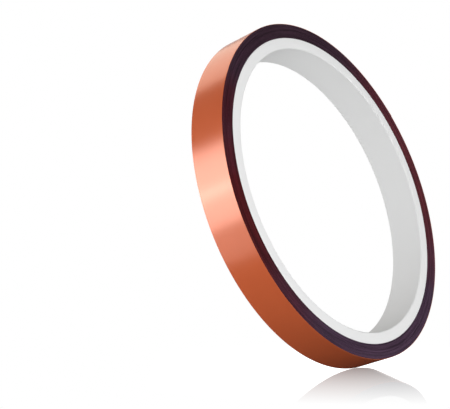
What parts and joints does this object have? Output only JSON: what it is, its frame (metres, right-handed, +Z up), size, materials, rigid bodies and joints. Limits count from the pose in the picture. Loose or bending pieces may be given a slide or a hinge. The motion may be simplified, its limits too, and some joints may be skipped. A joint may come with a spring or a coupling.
{
  "type": "copper-coloured tape roll",
  "caption": "Narrow roll of glossy copper-coloured film tape wound on a plain white plastic core. The free end of the tape lifts and straightens as it is peeled.",
  "frame": {"origin": "centre of the core's bore, midway between the roll's two side faces", "axes": "+Y along the roll's axis, +Z up with the roll standing on its rim, +X to the right when looking along +Y; the tape's free end lies 22 degrees above +X"},
  "size_m": [0.09, 0.0096, 0.09],
  "materials": {
    "core_plastic": "satin white, moulded",
    "wound_tape": "slit edges of the stacked turns, dark plum to maroon, fine grain round the roll",
    "tape_film": "glossy copper-coloured film",
    "tape_adhesive": "thin tacky amber layer"
  },
  "bodies": {
    "roll": {"core": "core_plastic", "wound_turns": "wound_tape", "outer_turn_film": "tape_film", "outer_turn_adhesive": "tape_adhesive"},
    "tail_1": {"tail_film_1": "tape_film", "tail_adhesive_1": "tape_adhesive"},
    "tail_2": {"tail_film_2": "tape_film", "tail_adhesive_2": "tape_adhesive"},
    "tail_3": {"tail_film_3": "tape_film", "tail_adhesive_3": "tape_adhesive"},
    "tail_4": {"tail_film_4": "tape_film", "tail_adhesive_4": "tape_adhesive"},
    "tail_5": {"tail_film_5": "tape_film", "tail_adhesive_5": "tape_adhesive"}
  },
  "joints": [
    {"name": "tail_peel", "type": "hinge", "parent": "roll", "child": "tail_1", "pos_m": [0.00393, 0, 0.04485], "axis": [0, -1, 0], "range_deg": [0, 35]},
    {"name": "tail_bend_2", "type": "hinge", "parent": "tail_1", "child": "tail_2", "pos_m": [0.01362, 0, 0.04291], "axis": [0, -1, 0], "range_deg": [0, 21.05]},
    {"name": "tail_bend_3", "type": "hinge", "parent": "tail_2", "child": "tail_3", "pos_m": [0.02266, 0, 0.03891], "axis": [0, -1, 0], "range_deg": [0, 21.05]},
    {"name": "tail_bend_4", "type": "hinge", "parent": "tail_3", "child": "tail_4", "pos_m": [0.0306, 0, 0.03303], "axis": [0, -1, 0], "range_deg": [0, 21.05]},
    {"name": "tail_bend_5", "type": "hinge", "parent": "tail_4", "child": "tail_5", "pos_m": [0.03707, 0, 0.02556], "axis": [0, -1, 0], "range_deg": [0, 21.05]}
  ],
  "couplings": [
    {"joint": "tail_bend_2", "follows": "tail_peel", "ratio": 0.6},
    {"joint": "tail_bend_3", "follows": "tail_peel", "ratio": 0.6},
    {"joint": "tail_bend_4", "follows": "tail_peel", "ratio": 0.6},
    {"joint": "tail_bend_5", "follows": "tail_peel", "ratio": 0.6}
  ]
}
